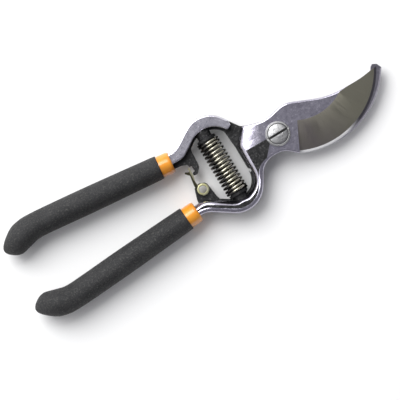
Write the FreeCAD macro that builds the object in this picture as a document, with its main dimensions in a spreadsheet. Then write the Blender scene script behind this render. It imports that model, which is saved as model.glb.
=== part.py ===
"""Forged bypass secateurs: a cutting lever and a hook lever on one bolt, a return spring and a catch.

Millimetres. The origin is on the pivot axis, at the plane that the tool lies on. +X runs along the closed
tool to its tip, +Y is the side of the hook lever's handle, +Z leaves the face that shows the bolt head.
"""

import FreeCAD
import Part

import Sketcher

import math
import os

doc = FreeCAD.newDocument("secateurs")
V = FreeCAD.Vector

SIZES = [
    # levels along the pivot axis
    ("mid_level", 9.0, "plane where the two laps meet"),
    ("lap_thick", 4.5, "each lap, and half of a loop"),
    ("lap_gap", 0.1, "clearance between the laps"),
    # pivot
    ("shank_radius", 4.0, "bolt shank"),
    ("pivot_clearance", 0.05, "radial, between the shank and the hook lever"),
    ("head_radius", 6.4, "bolt head"),
    ("head_height", 3.0, "bolt head"),
    ("slot_width", 1.2, "screwdriver slot"),
    ("slot_depth", 1.3, "screwdriver slot"),
    ("nut_flats", 13.0, "nut across flats"),
    ("nut_height", 3.3, "nut"),
    ("washer_radius", 7.2, "lock washer"),
    ("washer_gap", 0.1, "lock washer to the hook lever"),
    # blade and hook
    ("blade_reach", 60.2, "pivot to blade tip"),
    ("tip_height", 3.88, "blade tip, in Y"),
    ("shoulder_x", 4.58, "rear end of the cutting edge"),
    ("shoulder_y", -13.97, "rear end of the cutting edge"),
    ("edge_radius", 42.5, "cutting edge, in plan"),
    ("grind_radius", 26.0, "inner edge of the ground face, about the same centre"),
    ("edge_land", 0.35, "what is left of the thickness at the cutting edge"),
    ("bevel_width", 1.3, "steep bevel along the cutting edge"),
    ("bevel_rise", 1.1, "height of that bevel"),
    ("hook_reach", "=blade_reach + 2.5", "pivot to hook tip"),
    ("hook_width", 7.6, "hook, in plan"),
    ("throat_radius", 34.0, "hook's inner edge, in plan"),
    ("hook_chamfer", 0.8, "along the hook's outer back"),
    ("pivot_land", 8.8, "radius of the hook lever's lap round the pivot"),
    # spring loops
    ("loop_x", -31.6, "middle of both loops"),
    ("spring_x", -32.3, "axis of the spring and its studs"),
    ("upper_outer_radius", 14.0, "hook lever's loop, outside"),
    ("upper_inner_radius", 12.7, "hook lever's loop, inside"),
    ("upper_crown", 27.8, "hook lever's loop, highest point"),
    ("upper_band", 6.5, "hook lever's loop, width of its face"),
    ("lower_outer_radius", 14.2, "blade lever's loop, outside"),
    ("lower_inner_radius", 10.5, "blade lever's loop, inside"),
    ("lower_crown", 25.5, "blade lever's loop, lowest point"),
    ("lower_band", 6.7, "blade lever's loop, width of its face"),
    ("forged_step", 1.0, "how far the black forged half stands proud of the face half"),
    # rounded rims of the two faces
    ("loop_rim", 2.3, "blade lever's loop"),
    ("tang_rim", 2.4, "blade lever's tang"),
    ("plate_rim", 2.6, "left side of the blade lever's plate"),
    ("fine_rim", 0.9, "blade's back, and the hook lever's loop"),
    # handles
    ("upper_mouth_x", -53.3, "front end of the upper sleeve"),
    ("upper_mouth_y", 15.7, "front end of the upper sleeve"),
    ("upper_angle", -6.1, "upper handle against +X, degrees"),
    ("upper_tang_width", 8.0, "tang inside the upper sleeve"),
    ("lower_mouth_x", -54.8, "front end of the lower sleeve"),
    ("lower_mouth_y", -12.5, "front end of the lower sleeve"),
    ("lower_angle", 3.8, "lower handle against +X, degrees"),
    ("lower_tang_width", 5.8, "tang inside the lower sleeve"),
    ("tang_length", 76.0, "tang behind the sleeve's mouth"),
    ("sleeve_width", 11.2, "sleeve, in plan"),
    ("sleeve_height", 15.4, "sleeve, along Z"),
    ("sleeve_length", 82.0, "sleeve"),
    ("sleeve_round", 1.6, "rounded mouth of the sleeve"),
    ("grip_setback", 6.6, "orange band left bare at the mouth"),
    ("grip_length", 89.6, "grip"),
    ("grip_front_width", 12.2, "grip at its front end, in plan"),
    ("grip_width", 13.4, "grip at its middle, in plan"),
    ("grip_height", 18.0, "grip, along Z"),
    ("grip_hook", 4.2, "how far the grip's end turns in"),
    # return spring
    ("coil_diameter", 10.6, "mean"),
    ("wire_diameter", 1.25, ""),
    ("coil_turns", 15.5, ""),
    ("spring_low", "=10.7 - lower_crown", "lower end, in Y"),
    ("spring_high", "=upper_crown - 12.2", "upper end, in Y"),
    ("seat_gap", 0.05, "spring to its seats"),
    ("stud_radius", 4.2, "stud inside the spring"),
    ("stud_length", 4.0, "stud inside the spring"),
    ("seat_radius", 5.1, "collar that the spring pushes on"),
    ("seat_thick", 1.2, "that collar"),
    ("neck_radius", 3.7, "stem between the collar and the loop"),
    # catch
    ("eyelet_x", -46.8, ""),
    ("eyelet_y", -4.5, ""),
    ("eyelet_radius", 2.4, "barrel, outside"),
    ("eyelet_bore", 1.9, "radius of the hole through it"),
    ("eyelet_flange", 2.8, "radius of its flange"),
    ("flange_thick", 0.5, "both flanges"),
    ("lug_radius", 3.9, "blade lever's lug round the eyelet"),
    ("catch_washer_thick", 0.3, ""),
    ("catch_thick", 1.2, "plate"),
    ("catch_ring", 3.2, "radius of the plate round the eyelet"),
    ("catch_gap", 0.05, "plate to washer, flange and barrel"),
    ("finger_depth", 4.0, "finger below the plate"),
]

sheet = doc.addObject("Spreadsheet::Sheet", "Sizes")
for row, (alias, value, note) in enumerate(SIZES, start=1):
    sheet.set("A%d" % row, alias)
    sheet.set("B%d" % row, str(value))
    sheet.set("C%d" % row, note)
    sheet.setAlias("B%d" % row, alias)
doc.recompute()


def size(alias):
    """The value of one named cell."""
    return float(sheet.get(alias))


# ---------------------------------------------------------------- sketch helpers


def unit(a, b):
    """Direction from a to b."""
    d = V(b[0] - a[0], b[1] - a[1], 0)
    return d.normalize()


def outline(corners):
    """Lines and arcs of a closed outline.

    A corner is (x, y, radius): the corner is rounded by that radius, or sharp at 0. A fourth value (x, y) is
    a point that an arc to the next corner passes through; such an arc's two corners are sharp.
    """
    count = len(corners)
    entry, leave, arcs = [], [], []
    for i, corner in enumerate(corners):
        point = V(corner[0], corner[1], 0)
        radius = corner[2]
        if radius == 0:
            entry.append(point)
            leave.append(point)
            arcs.append(None)
            continue
        back = unit(corner, corners[i - 1])
        ahead = unit(corner, corners[(i + 1) % count])
        half = back.getAngle(ahead) / 2
        reach = radius / math.tan(half)
        middle = (back + ahead).normalize()
        entry.append(point + back * reach)
        leave.append(point + ahead * reach)
        arcs.append(point + middle * (radius / math.sin(half) - radius))
    shapes = []
    for i, corner in enumerate(corners):
        if arcs[i] is not None:
            shapes.append(Part.Arc(entry[i], arcs[i], leave[i]))
        start, end = leave[i], entry[(i + 1) % count]
        if len(corner) == 4:
            shapes.append(Part.Arc(start, V(corner[3][0], corner[3][1], 0), end))
        elif start.distanceToPoint(end) > 1e-6:
            shapes.append(Part.LineSegment(start, end))
    return shapes


def new_body(label):
    body = doc.addObject("PartDesign::Body", label)
    body.Label = label
    return body


def new_sketch(body, name, plane="XY_Plane", height=None):
    """A sketch on one of the body's own origin planes, lifted along its normal by an expression."""
    sketch = body.newObject("Sketcher::SketchObject", name)
    support = [f for f in body.Origin.OriginFeatures if f.Role == plane][0]
    sketch.AttachmentSupport = (support, [""])
    sketch.MapMode = "FlatFace"
    if height:
        sketch.setExpression("AttachmentOffset.Base.z", height)
    return sketch


def circle(sketch, radius, x="0", y="0"):
    """A circle whose radius and centre are bound to the sheet."""
    index = sketch.addGeometry(Part.Circle(V(0.1, 0.1, 0), V(0, 0, 1), 1), False)
    for kind, arguments, bound in (
        ("DistanceX", (-1, 1, index, 3), x),
        ("DistanceY", (-1, 1, index, 3), y),
        ("Radius", (index,), radius),
    ):
        if bound == "0":
            first = {"DistanceX": "Vertical", "DistanceY": "Horizontal"}[kind]
            sketch.addConstraint(Sketcher.Constraint(first, -1, 1, index, 3))
            continue
        number = sketch.addConstraint(Sketcher.Constraint(kind, *arguments, 1.0))
        sketch.setExpression("Constraints[%d]" % number, bound)
    return index


def pad(body, name, shapes, height, length):
    """Pads an outline upwards from a height."""
    sketch = new_sketch(body, name + "_outline", height=height)
    sketch.addGeometry(shapes, False)
    feature = body.newObject("PartDesign::Pad", name)
    feature.Profile = sketch
    feature.setExpression("Length", length)
    doc.recompute()
    return feature


def disc(body, name, radius, height, length, x="0", y="0"):
    """Pads a circle upwards from a height."""
    sketch = new_sketch(body, name + "_circle", height=height)
    circle(sketch, radius, x, y)
    feature = body.newObject("PartDesign::Pad", name)
    feature.Profile = sketch
    feature.setExpression("Length", length)
    doc.recompute()
    return feature


def drill(body, name, radius, x="0", y="0"):
    """Cuts a round hole along Z through the whole body, and makes sure that it did cut."""
    before = body.Shape.Volume
    sketch = new_sketch(body, name + "_circle")
    circle(sketch, radius, x, y)
    feature = body.newObject("PartDesign::Pocket", name)
    feature.Profile = sketch
    feature.Type = "ThroughAll"
    feature.Midplane = True
    doc.recompute()
    if body.Shape.Volume >= before:
        raise RuntimeError(name + " cut nothing")
    return feature


def revolve(body, name, shapes, plane, axis, place=None):
    """Turns a profile sketched on a vertical plane about one of the sketch's own axes."""
    sketch = new_sketch(body, name + "_profile", plane)
    if place:
        for key, expression in place.items():
            sketch.setExpression("AttachmentOffset.Base." + key, expression)
    sketch.addGeometry(shapes, False)
    feature = body.newObject("PartDesign::Revolution", name)
    feature.Profile = sketch
    feature.ReferenceAxis = (sketch, [axis])
    feature.Angle = 360
    doc.recompute()
    return feature


# ---------------------------------------------------------------- shared geometry

lap_floor = size("mid_level") - size("lap_thick")
lap_roof = size("mid_level") + size("lap_thick")
LOW_LAP = "Sizes.mid_level - Sizes.lap_thick"
LAP = "Sizes.lap_thick - Sizes.lap_gap / 2"
HIGH_LAP = "Sizes.mid_level + Sizes.lap_gap / 2"
spring_level = size("mid_level")


def handle_point(side, along, across):
    """A point given along and across a handle, whose own origin is the sleeve's mouth."""
    angle = math.radians(size(side + "_angle"))
    x = size(side + "_mouth_x") + along * math.cos(angle) - across * math.sin(angle)
    y = size(side + "_mouth_y") + along * math.sin(angle) + across * math.cos(angle)
    return x, y


def handle_line_at(side, across, x):
    """The height in Y of a line parallel to a handle's axis, at an X."""
    x0, y0 = handle_point(side, 0, across)
    return y0 + (x - x0) * math.tan(math.radians(size(side + "_angle")))


def meet(point_a, slope_a, point_b, slope_b):
    """Where two lines, each a point and a slope, cross."""
    x = (point_b[1] - point_a[1] + slope_a * point_a[0] - slope_b * point_b[0]) / (slope_a - slope_b)
    return x, point_a[1] + slope_a * (x - point_a[0])


def tangent(centre, radius, angle):
    """The point on a circle at an angle in degrees, and the slope of the line that touches it there."""
    turn = math.radians(angle)
    point = (centre[0] + radius * math.cos(turn), centre[1] + radius * math.sin(turn))
    return point, -math.cos(turn) / math.sin(turn)


# ---------------------------------------------------------------- blade lever

lower_half = size("lower_tang_width") / 2
lower_slope = math.tan(math.radians(size("lower_angle")))


def centre_through(first, last, radius):
    """Middle of the arc of a radius that sags between two points, the first on the left."""
    chord = math.hypot(last[0] - first[0], last[1] - first[1])
    lift = math.sqrt(radius ** 2 - chord ** 2 / 4)
    ux, uy = (last[0] - first[0]) / chord, (last[1] - first[1]) / chord
    return (first[0] + last[0]) / 2 - uy * lift, (first[1] + last[1]) / 2 + ux * lift


def bearing(centre, point):
    """Direction from a centre to a point, in degrees from -180 to 180."""
    return math.degrees(math.atan2(point[1] - centre[1], point[0] - centre[0]))


blade_tip = (size("blade_reach") + 0.66, size("tip_height"))
blade_heel = (size("shoulder_x"), size("shoulder_y"))
edge_centre = centre_through(blade_heel, blade_tip, size("edge_radius"))
HEEL = bearing(edge_centre, blade_heel)
TIP = bearing(edge_centre, blade_tip)
PAST_TIP = 22


def on_edge(angle, extra=0.0):
    """A point on the cutting edge's circle, or outside it."""
    turn = math.radians(angle)
    radius = size("edge_radius") + extra
    return edge_centre[0] + radius * math.cos(turn), edge_centre[1] + radius * math.sin(turn)


def lower_loop_outside():
    """Corners of the blade lever's loop from under the plate round to the tang, on the outside."""
    centre = (size("loop_x"), size("lower_outer_radius") - size("lower_crown"))
    radius = size("lower_outer_radius")
    floor = -size("lower_crown")
    right, right_slope = tangent(centre, radius, -32)
    left, left_slope = tangent(centre, radius, -123.5)
    tang = handle_point("lower", 0, -lower_half)
    waist = -8.3
    return [
        (right[0] + (waist - right[1]) / right_slope, waist, 10),
        (right[0] + (floor - right[1]) / right_slope, floor, radius - 0.2),
        (left[0] + (floor - left[1]) / left_slope, floor, radius - 0.2),
        (*meet(left, left_slope, tang, lower_slope), 9),
    ]


def lower_loop_inside(proud):
    """Corners of the blade lever's loop from the tang round to the plate, on the inside."""
    radius = size("lower_inner_radius") - proud
    floor = size("lower_band") + proud - size("lower_crown")
    centre = (size("loop_x"), radius + floor)
    left, left_slope = tangent(centre, radius, -122.8)
    tang = handle_point("lower", 0, lower_half)
    return [
        (*meet(left, left_slope, tang, lower_slope), 8),
        (left[0] + (floor - left[1]) / left_slope, floor, radius - 0.2),
        (centre[0] + radius + 0.3, floor, radius - 0.2),
    ]


def blade_face_outline():
    """Plate, blade, loop and tang, as the face half shows them."""
    plate_left = size("loop_x") + size("lower_inner_radius") + 0.4
    reach = size("blade_reach")
    end = -size("tang_length")
    return [
        (*handle_point("lower", end, -lower_half), 0),
        (*handle_point("lower", end, lower_half), 0),
        *lower_loop_inside(0),
        (plate_left, 5.0, 4),
        (-14.3, 12.8, 2.9),
        (-2.5, 9.0, 18),
        (10.5, 12.0, 14),
        (reach - 28.6, 2.9, 40),
        (reach - 10.5, 2.5, 50),
        (*blade_tip, 0, on_edge((TIP + HEEL) / 2)),
        (*blade_heel, 0),
        (-1.8, -8.3, 9),
        *lower_loop_outside(),
    ]


def blade_forged_outline():
    """The black half behind the loop and tang, which ends where the hook lever's lap begins."""
    step = size("forged_step")
    inside = lower_loop_inside(step)
    outside = lower_loop_outside()
    end = -size("tang_length")
    right = inside[-1][0]
    slope = (outside[0][1] - outside[1][1]) / (outside[0][0] - outside[1][0])
    stop_right = outside[1][0] + (-12.0 - outside[1][1]) / slope
    return [
        (*handle_point("lower", end, -lower_half), 0),
        (*handle_point("lower", end, lower_half), 0),
        *inside,
        (right, -8.8, 0.8),
        (stop_right, -12.0, 0),
        *outside[1:],
    ]


def catch_lug_outline():
    """The blade lever's lug, which carries the catch's eyelet."""
    x, y = size("eyelet_x"), size("eyelet_y")
    r = size("lug_radius")
    return [
        (x - 5.6, y - 5.4, 0),
        (x - 5.3, y - 3.0, 2),
        (x - 3.4, y + 1.6 + 0.3 * r, 1.5),
        (x - 0.6, y + 0.95 * r, 2.5),
        (x + 3.2, y + 0.6 * r, 2.5),
        (x + 4.3, y - 6.5, 0),
        (x + 5.2, y - 9.2, 0),
        (x, y - 8.6, 0),
    ]


def spring_stud(outer, end, inward):
    """Profile of a stud from the loop's wall to inside the spring; inward is +1 or -1 along Y."""
    gap = size("seat_gap")
    seat = end - inward * gap
    collar = seat - inward * size("seat_thick")
    nose = end + inward * size("stud_length")
    r_stud, r_seat, r_neck = size("stud_radius"), size("seat_radius"), size("neck_radius")
    return outline([
        (0, outer, 0),
        (r_neck, outer, 0),
        (r_neck, collar - inward * 0.6, 0),
        (r_seat, collar, 0),
        (r_seat, seat, 0),
        (r_stud, seat, 0),
        (r_stud, nose - inward * 0.8, 0),
        (r_stud - 0.8, nose, 0),
        (0, nose, 0),
    ])


blade = new_body("blade_forging")
pad(blade, "face_half", outline(blade_face_outline()), HIGH_LAP, LAP)
pad(blade, "forged_half", outline(blade_forged_outline()), LOW_LAP, "Sizes.lap_thick + Sizes.lap_gap / 2")
pad(blade, "catch_lug", outline(catch_lug_outline()), LOW_LAP, "Sizes.lap_thick")
revolve(blade, "lower_stud",
        spring_stud(1.5 - size("lower_crown") + size("lower_band") * 0.4, size("spring_low"), 1),
        "XY_Plane", "V_Axis", {"x": "Sizes.spring_x", "z": "Sizes.mid_level"})
drill(blade, "pivot_bore", "Sizes.shank_radius")
drill(blade, "eyelet_bore", "Sizes.eyelet_radius", "Sizes.eyelet_x", "Sizes.eyelet_y")


def rim_edges(shape, level):
    """Number, first point and last point of each edge that lies in the horizontal plane at a level."""
    found = []
    for number, edge in enumerate(shape.Edges, start=1):
        box = edge.BoundBox
        if abs(box.ZMin - level) < 1e-6 and abs(box.ZMax - level) < 1e-6:
            found.append((number, edge.valueAt(edge.FirstParameter), edge.valueAt(edge.LastParameter)))
    return found


RIM_SHARES = (1.0, 0.8, 0.6, 0.4)


def rounded(base, name, rims):
    """Rounds rims. Each rim is a level, a radius as a function of the place, and which places it skips.

    The radius changes along a rim, so each edge is given one for each of its ends. Where a band is too narrow
    or too tightly bent for its radii, all of them shrink by one share after another until they fit.
    """
    edges = []
    for level, radius_at, skipped in rims:
        for number, first, last in rim_edges(base.Shape, level):
            if not skipped(first) and not skipped(last):
                edges.append((number, radius_at(first), radius_at(last)))
    feature = doc.addObject("Part::Fillet", name)
    feature.Base = base
    for share in RIM_SHARES:
        feature.Edges = [(number, share * first, share * last) for number, first, last in edges]
        doc.recompute()
        if not feature.Shape.isNull() and feature.Shape.isValid():
            return feature
    raise RuntimeError(name + " can't be rounded")


def near(point, x, y, reach):
    return math.hypot(point.x - x, point.y - y) < reach


def blade_rim(point):
    """Broad rounding on the polished loop and tang, a narrow one on the plate and the blade's back."""
    if point.x < -50:
        return size("tang_rim")
    if point.x < -17 and point.y < -8:
        return size("loop_rim")
    if point.x < -12 and point.y < 12:
        return size("plate_rim")
    return size("fine_rim")


def at_bore(point):
    return near(point, 0, 0, size("shank_radius") + 1)


blade_rounded = rounded(blade, "blade_rounded", [
    (lap_roof, blade_rim, at_bore),
])


def turned_cutter(name, profile, centre, start, sweep):
    """A cutting shape: a profile of (radius, z) turned about a vertical axis from one angle through another."""
    cutter = new_body(name)
    feature = revolve(cutter, name + "_turn", outline(profile), "XZ_Plane", "V_Axis")
    feature.Angle = sweep
    cutter.Placement = FreeCAD.Placement(V(*centre, 0), FreeCAD.Rotation(V(0, 0, 1), start))
    doc.recompute()
    return cutter


def cut(name, base, tool):
    """What is left of base, after making sure that the tool did cut."""
    feature = doc.addObject("Part::Cut", name)
    feature.Base = base
    feature.Tool = tool
    doc.recompute()
    if feature.Shape.Volume >= base.Shape.Volume:
        raise RuntimeError(name + " cut nothing")
    return feature


land_level = size("mid_level") + size("lap_gap") / 2 + size("edge_land")
bevel_level = land_level + size("bevel_rise")
grinding_wheel = turned_cutter("grinding_wheel", [
    (size("grind_radius"), lap_roof, 0),
    (size("edge_radius") - size("bevel_width"), bevel_level, 0),
    (size("edge_radius"), land_level, 0),
    (size("edge_radius") + 2, land_level, 0),
    (size("edge_radius") + 2, lap_roof + 1, 0),
    (size("grind_radius"), lap_roof + 1, 0),
], edge_centre, HEEL, TIP - HEEL + PAST_TIP)
blade_lever = cut("blade_lever", blade_rounded, grinding_wheel)
blade_lever.Label = "blade_lever"

# ---------------------------------------------------------------- hook lever

upper_half = size("upper_tang_width") / 2
upper_slope = math.tan(math.radians(size("upper_angle")))
hook_centre = (edge_centre[0] + 2.5, edge_centre[1] + 0.5)
hook_radius = size("edge_radius") + 0.8
throat_radius = size("throat_radius")
throat_centre = (hook_centre[0] + 3.5,
                 hook_centre[1] - hook_radius + size("hook_width") + throat_radius)


def on_circle(centre, radius, angle):
    turn = math.radians(angle)
    return centre[0] + radius * math.cos(turn), centre[1] + radius * math.sin(turn)


def land_meets_throat():
    """Where the round lap meets the hook's inner edge, on the lower side."""
    land = size("pivot_land")
    apart = math.hypot(*throat_centre)
    along = (land ** 2 - throat_radius ** 2 + apart ** 2) / (2 * apart)
    across = math.sqrt(land ** 2 - along ** 2)
    ux, uy = throat_centre[0] / apart, throat_centre[1] / apart
    return along * ux + across * uy, along * uy - across * ux


def upper_loop_outside():
    """Corners of the hook lever's loop from the tang round to the web, on the outside."""
    radius = size("upper_outer_radius")
    crown = size("upper_crown")
    centre = (size("loop_x"), crown - radius)
    left, left_slope = tangent(centre, radius, 121.8)
    right, right_slope = tangent(centre, radius, 35)
    tang = handle_point("upper", 0, upper_half)
    return [
        (*meet(left, left_slope, tang, upper_slope), 11),
        (left[0] + (crown - left[1]) / left_slope, crown, radius - 0.2),
        (right[0] + (crown - right[1]) / right_slope, crown, radius - 0.2),
    ], right, right_slope


def upper_loop_inside(proud):
    """The two corners under the crown, and the lines that leave them."""
    radius = size("upper_inner_radius") - proud
    roof = size("upper_crown") - size("upper_band") - proud
    centre = (size("loop_x") - 0.4, roof - radius)
    right, right_slope = tangent(centre, radius, 40)
    left, left_slope = tangent(centre, radius, 123)
    corners = [
        (right[0] + (roof - right[1]) / right_slope, roof, radius - 0.2),
        (left[0] + (roof - left[1]) / left_slope, roof, radius - 0.2),
    ]
    return corners, (right, right_slope), (left, left_slope)


def hook_forged_outline():
    """Hook, round lap, web, loop, lug and tang, as the black half behind the face shows them."""
    outside, right, right_slope = upper_loop_outside()
    inside, (web, web_slope), (lug, lug_slope) = upper_loop_inside(size("forged_step"))
    end = -size("tang_length")
    land = size("pivot_land")
    web_left = size("loop_x") + size("lower_inner_radius") - size("forged_step") + 0.5
    throat_start = land_meets_throat()
    tip = size("hook_reach")
    throat_tip = -math.degrees(math.acos((tip - 4.45 - throat_centre[0]) / throat_radius))
    throat_end = on_circle(throat_centre, throat_radius, throat_tip)
    throat_middle = (throat_tip + bearing(throat_centre, throat_start)) / 2
    back_start = on_circle(hook_centre, hook_radius, TIP - 6.1)
    back_end = on_circle(hook_centre, hook_radius, HEEL + 1.1)
    tx = size("eyelet_x")
    return [
        (*handle_point("upper", end, -upper_half), 0),
        (*handle_point("upper", end, upper_half), 0),
        *outside,
        (right[0] + (13.2 - right[1]) / right_slope, 13.2, 3),
        (-9.6, 11.1, 3),
        (*on_circle((0, 0), land, 98), 0, on_circle((0, 0), land, 30)),
        (*throat_start, 0, on_circle(throat_centre, throat_radius, throat_middle)),
        (*throat_end, 0),
        (tip - 3.2, 5.9, 0.8),
        (tip - 1.0, 4.7, 1.2),
        (tip + 0.2, 1.8, 1.2),
        (*back_start, 0, on_circle(hook_centre, hook_radius, (TIP + HEEL) / 2)),
        (*back_end, 0),
        (-1.6, -7.9, 8),
        (web_left, -7.9, 1.5),
        (web_left, 5.5, 4),
        (web_left - 0.7, web[1] + (web_left - 0.7 - web[0]) * web_slope, 3),
        *inside,
        (tx + 5.1, lug[1] + (tx + 5.1 - lug[0]) * lug_slope, 2),
        (tx + 4.5, 6.6, 3),
        (tx + 1.8, 3.5, 1.4),
        (tx - 0.3, 3.8, 0.5),
        (tx - 0.3, 5.3, 0.3),
        (tx + 1.2, 5.5, 0.3),
        (tx + 1.2, 8.7, 0.4),
        (tx - 0.1, 8.9, 0.3),
        (tx - 0.4, 10.3, 1.0),
        (tx - 2.7, handle_line_at("upper", -upper_half, tx - 2.7), 3),
    ]


def hook_face_outline():
    """Loop and tang of the hook lever, as the polished face half shows them."""
    outside, right, right_slope = upper_loop_outside()
    inside, (toe, toe_slope), (heel, heel_slope) = upper_loop_inside(0)
    end = -size("tang_length")
    toe_x = toe[0] + 1.7
    blunt_y = right[1] - 3.0
    blunt_x = right[0] + (blunt_y - right[1]) / right_slope
    return [
        (*handle_point("upper", end, -upper_half), 0),
        (*handle_point("upper", end, upper_half), 0),
        *outside,
        (blunt_x, blunt_y, 0.8),
        (blunt_x - 0.1, blunt_y - 2.7, 0.9),
        (toe_x, toe[1] + 1.7 * toe_slope, 1.2),
        *inside,
        (*meet(heel, heel_slope, handle_point("upper", 0, -1.6), 0), 6),
        (*handle_point("upper", -0.9, -1.6), 0),
        (*handle_point("upper", -0.9, -upper_half), 0),
    ]


hook = new_body("hook_forging")
pad(hook, "forged_half", outline(hook_forged_outline()), LOW_LAP, LAP)
pad(hook, "face_half", outline(hook_face_outline()),
    "Sizes.mid_level - Sizes.lap_gap / 2", "Sizes.lap_thick + Sizes.lap_gap / 2")
revolve(hook, "upper_stud",
        spring_stud(size("upper_crown") - size("upper_band") * 0.4, size("spring_high"), -1),
        "XY_Plane", "V_Axis", {"x": "Sizes.spring_x", "z": "Sizes.mid_level"})
drill(hook, "pivot_bore", "Sizes.shank_radius + Sizes.pivot_clearance")


def hook_rim(point):
    return size("fine_rim") if point.y > 20 or point.x < -40 else size("fine_rim") - 0.2


BACK_START = HEEL - 5.6
BACK_SWEEP = TIP - HEEL + 2


def back_cutter(name, level, down):
    """Takes the corner off the hook's outer back, at its front (down is -1) or its rear (down is +1)."""
    c = size("hook_chamfer")
    return turned_cutter(name, [
        (hook_radius - c - 0.5, level - down * 0.5, 0),
        (hook_radius + 0.5, level - down * 0.5, 0),
        (hook_radius + 0.5, level + down * (c + 0.5), 0),
    ], hook_centre, BACK_START, BACK_SWEEP)


hook_lap_level = size("mid_level") - size("lap_gap") / 2
hook_rounded = rounded(hook, "hook_rounded", [(lap_roof, hook_rim, at_bore)])
front_trimmed = cut("front_trimmed", hook_rounded, back_cutter("front_cutter", hook_lap_level, -1))
hook_lever = cut("hook_lever", front_trimmed, back_cutter("rear_cutter", lap_floor, 1))
hook_lever.Label = "hook_lever"

# ---------------------------------------------------------------- bolt, washer and nut

bolt = new_body("pivot_bolt")
head_top = lap_roof + size("head_height")
r_shank, r_head = size("shank_radius"), size("head_radius")
r_dome = r_head - 1.5
dome_rise = 0.8
sphere = (r_dome ** 2 + dome_rise ** 2) / (2 * dome_rise)
half_fall = sphere - math.sqrt(sphere ** 2 - (r_dome / 2) ** 2)
revolve(bolt, "turned_bolt", outline([
    (0, 0, 0),
    (r_shank - 0.5, 0, 0),
    (r_shank, 0.5, 0),
    (r_shank, lap_roof, 0),
    (r_head, lap_roof, 0),
    (r_head, head_top - 1.5, 0.3),
    (r_head - 0.6, head_top - 0.8, 0.2),
    (r_head - 1.0, head_top - 0.8, 0),
    (r_head - 1.2, head_top - 1.1, 0),
    (r_dome, head_top - dome_rise, 0, (r_dome / 2, head_top - half_fall)),
    (0, head_top, 0),
]), "XZ_Plane", "V_Axis")
before = bolt.Shape.Volume
slot = new_sketch(bolt, "slot_outline", height="Sizes.mid_level + Sizes.lap_thick + Sizes.head_height")
half_slot = size("slot_width") / 2
slot.addGeometry(outline([
    (-r_head - 1, -half_slot, 0),
    (r_head + 1, -half_slot, 0),
    (r_head + 1, half_slot, 0),
    (-r_head - 1, half_slot, 0),
]), False)
slot_cut = bolt.newObject("PartDesign::Pocket", "slot")
slot_cut.Profile = slot
slot_cut.setExpression("Length", "Sizes.slot_depth")
doc.recompute()
if bolt.Shape.Volume >= before:
    raise RuntimeError("the slot cut nothing")

nut = new_body("pivot_nut")
corner = size("nut_flats") / math.sqrt(3)
pad(nut, "hexagon", outline([
    (corner * math.cos(math.radians(60 * k)), corner * math.sin(math.radians(60 * k)), 0) for k in range(6)
]), "0 mm", "Sizes.nut_height")
drill(nut, "thread_bore", "Sizes.shank_radius")
for name, face, inward in (("low_chamfer", 0.0, 1), ("high_chamfer", size("nut_height"), -1)):
    cone = new_sketch(nut, name + "_profile", "XZ_Plane")
    cone.addGeometry(outline([
        (size("nut_flats") / 2, face, 0),
        (corner + 1, face, 0),
        (corner + 1, face + inward * (corner + 1 - size("nut_flats") / 2) * 0.58, 0),
    ]), False)
    before = nut.Shape.Volume
    groove = nut.newObject("PartDesign::Groove", name)
    groove.Profile = cone
    groove.ReferenceAxis = (cone, ["V_Axis"])
    groove.Angle = 360
    doc.recompute()
    if nut.Shape.Volume >= before:
        raise RuntimeError(name + " cut nothing")

washer = new_body("pivot_washer")
disc(washer, "ring", "Sizes.washer_radius", "Sizes.nut_height",
     "Sizes.mid_level - Sizes.lap_thick - Sizes.washer_gap - Sizes.nut_height")
drill(washer, "washer_bore", "Sizes.shank_radius")
notch_sketch = new_sketch(washer, "notch_outline")
r_washer = size("washer_radius")
notch_sketch.addGeometry(outline([
    (r_washer + 0.5, -0.75, 0),
    (r_washer - 0.9, -0.1, 0),
    (r_washer - 0.9, 0.1, 0),
    (r_washer + 0.5, 0.75, 0),
]), False)
notch = washer.newObject("PartDesign::Pocket", "notch")
notch.Profile = notch_sketch
notch.Type = "ThroughAll"
notch.Midplane = True
doc.recompute()
teeth = washer.newObject("PartDesign::PolarPattern", "teeth")
teeth.Originals = [notch]
teeth.Axis = (notch_sketch, ["N_Axis"])
teeth.Angle = 360
teeth.Occurrences = 16
washer.Tip = teeth
doc.recompute()

# ---------------------------------------------------------------- return spring

spring = new_body("return_spring")
wire_sketch = new_sketch(spring, "wire_section", "XZ_Plane")
wire_sketch.addGeometry(Part.Circle(V(size("coil_diameter") / 2, 0, 0), V(0, 0, 1),
                                    size("wire_diameter") / 2), False)
coil = spring.newObject("PartDesign::AdditiveHelix", "coil")
coil.Profile = wire_sketch
coil.ReferenceAxis = (wire_sketch, ["V_Axis"])
coil.Mode = 2
coil.setExpression("Height", "Sizes.spring_high - Sizes.spring_low - Sizes.wire_diameter")
coil.setExpression("Turns", "Sizes.coil_turns")
doc.recompute()
spring.Placement = FreeCAD.Placement(
    V(size("spring_x"), size("spring_low") + size("wire_diameter") / 2, spring_level),
    FreeCAD.Rotation(V(1, 0, 0), -90))

# ---------------------------------------------------------------- catch

LUG_TOP = "Sizes.mid_level"
lug_top = size("mid_level")
plate_floor = lug_top + size("catch_washer_thick") + size("catch_gap")
PLATE = "Sizes.mid_level + Sizes.catch_washer_thick + Sizes.catch_gap"
ex, ey = size("eyelet_x"), size("eyelet_y")

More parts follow.
